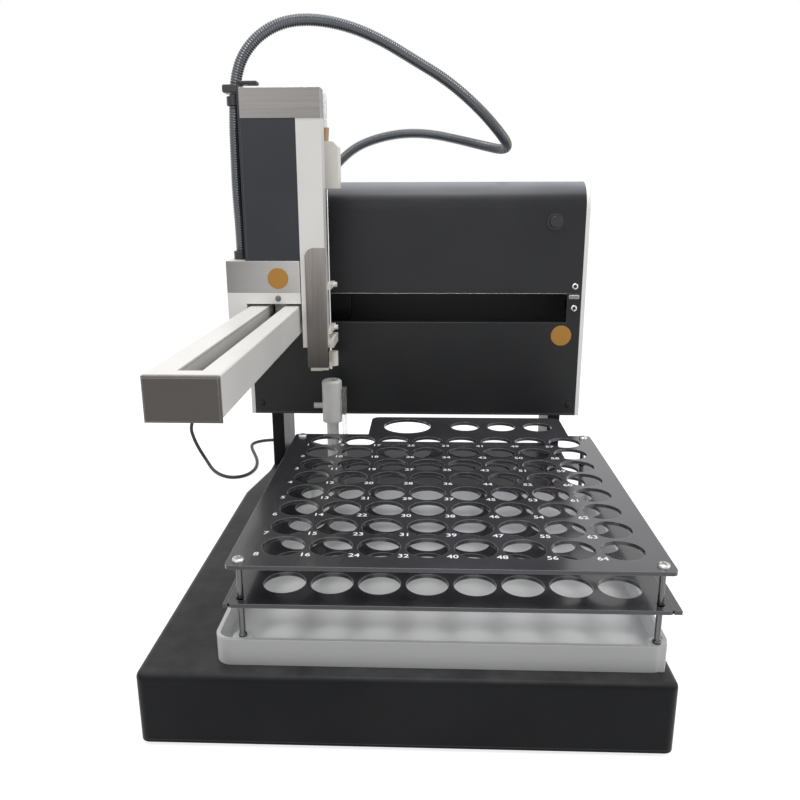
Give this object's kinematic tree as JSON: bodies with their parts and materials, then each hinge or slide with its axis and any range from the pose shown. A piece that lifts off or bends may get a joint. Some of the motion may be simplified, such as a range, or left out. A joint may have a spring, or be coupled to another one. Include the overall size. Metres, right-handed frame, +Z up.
{
  "type": "autosampler",
  "caption": "Benchtop autosampler with a perforated tube rack, a rear drive cabinet on pillars and a sliding arm that carries a needle tower with a looped hose.",
  "frame": {"origin": "centre of the footprint on the table, free hose and lead left out", "axes": "+X to the right of the operator, +Y to the back, +Z up"},
  "size_m": [0.504, 0.692, 0.5379],
  "materials": {
    "cream_paint": "satin powder coat",
    "black_coat": "satin powder coat",
    "charcoal_paint": "fine textured satin",
    "black_paint": "matt",
    "zinc_sheet": "plain zinc sheet",
    "dark_steel": "blackened",
    "bright_steel": "polished",
    "brushed_plate": "brushed",
    "pulley_metal": "machined",
    "black_plastic": "fine grain",
    "white_plastic": "satin",
    "cream_plastic": "satin",
    "tan_plastic": "satin",
    "natural_plastic": "milky",
    "clear_plastic": "clear",
    "charcoal_plastic": "gloss with polished edges",
    "board": "lacquered",
    "black_rubber": "matt",
    "hose_rubber": "satin"
  },
  "bodies": {
    "base": {"base_plate": "black_coat", "base_cover": "black_coat", "rear_plinth": "black_coat", "feet": "black_rubber", "pillars": "black_coat", "end_plates": "cream_paint", "upper_cover": "charcoal_paint", "lower_cover": "charcoal_paint", "cabinet_chassis": "black_paint", "back_panel": "charcoal_paint", "power_inlet": "black_plastic", "cabinet_screws": "dark_steel", "button_housing": "bright_steel", "rail_plate": "black_paint", "x_rail": "bright_steel", "x_motor": "black_paint", "x_belt": "black_rubber", "control_board": "board", "wash_tube": "natural_plastic", "wash_bracket": "clear_plastic", "power_lead": "black_rubber", "power_plug": "black_plastic", "lead_coil": "black_rubber", "lead_end_plug": "black_plastic"},
    "button": {"push_button": "black_plastic"},
    "rack": {"rack_top_plate": "charcoal_plastic", "rack_middle_plate": "charcoal_plastic", "rack_posts": "bright_steel", "rack_screws": "bright_steel", "tray": "white_plastic"},
    "x_drive": {"x_drive_pulley": "pulley_metal"},
    "x_idler": {"x_idler_pulley": "pulley_metal"},
    "x_arm": {"x_carriage": "pulley_metal", "beam_channel": "cream_paint", "beam_end_cap": "black_plastic", "y_rail": "bright_steel", "y_motor": "black_paint", "y_belt": "black_rubber", "hose_mast": "zinc_sheet", "hose_gland": "black_plastic"},
    "y_drive": {"y_drive_pulley": "pulley_metal"},
    "y_idler": {"y_idler_pulley": "pulley_metal"},
    "y_tower": {"carriage_block": "cream_paint", "block_front_plate": "brushed_plate", "tower_front_panel": "charcoal_paint", "tower_side_column": "cream_paint", "tower_top_cap": "brushed_plate", "tower_housing": "charcoal_paint", "z_motor": "black_paint", "probe_guard": "brushed_plate", "needle_guides": "cream_plastic", "guide_rod": "bright_steel", "hose_clips": "black_plastic", "conduit_hose": "hose_rubber"},
    "z_drive": {"z_screw": "bright_steel"},
    "probe": {"z_nut_block": "pulley_metal", "probe_holder": "cream_plastic", "needle": "bright_steel", "probe_fitting": "tan_plastic", "probe_sleeve": "clear_plastic"}
  },
  "joints": [
    {"name": "x_slide", "type": "slide", "parent": "base", "child": "x_arm", "axis": [1, 0, 0], "range_m": [0, 0.238]},
    {"name": "y_slide", "type": "slide", "parent": "x_arm", "child": "y_tower", "axis": [0, -1, 0], "range_m": [0, 0.2905], "deforming": ["conduit_hose"]},
    {"name": "z_slide", "type": "slide", "parent": "y_tower", "child": "probe", "axis": [0, 0, -1], "range_m": [0, 0.088]},
    {"name": "button_press", "type": "slide", "parent": "base", "child": "button", "axis": [0, 1, 0], "range_m": [0, 0.002], "stiffness_N_per_m": 300, "springref_m": -0.003},
    {"name": "rack_lift", "type": "slide", "parent": "base", "child": "rack", "axis": [0, 0, 1], "range_m": [0, 0.045]},
    {"name": "x_drive_spin", "type": "hinge", "parent": "base", "child": "x_drive", "pos_m": [0.155, 0.181, 0.347], "axis": [0, 1, 0], "range_deg": [-1275, 5]},
    {"name": "x_idler_spin", "type": "hinge", "parent": "base", "child": "x_idler", "pos_m": [-0.1645, 0.181, 0.347], "axis": [0, 1, 0], "range_deg": [-1275, 5]},
    {"name": "y_drive_spin", "type": "hinge", "parent": "x_arm", "child": "y_drive", "pos_m": [-0.1324, 0.1437, 0.2563], "axis": [0, 0, 1], "range_deg": [-2385, 5]},
    {"name": "y_idler_spin", "type": "hinge", "parent": "x_arm", "child": "y_idler", "pos_m": [-0.1324, -0.254, 0.2563], "axis": [0, 0, 1], "range_deg": [-2385, 5]},
    {"name": "z_screw_spin", "type": "hinge", "parent": "y_tower", "child": "z_drive", "pos_m": [-0.1263, 0.062, 0.36], "axis": [0, 0, 1], "range_deg": [-5, 3970]}
  ],
  "couplings": [
    {"joint": "x_drive_spin", "follows": "x_slide", "rad_per_m": -93.023},
    {"joint": "x_idler_spin", "follows": "x_slide", "rad_per_m": -93.023},
    {"joint": "y_drive_spin", "follows": "y_slide", "rad_per_m": -142.86},
    {"joint": "y_idler_spin", "follows": "y_slide", "rad_per_m": -142.86},
    {"joint": "z_screw_spin", "follows": "z_slide", "rad_per_m": 785.4}
  ]
}
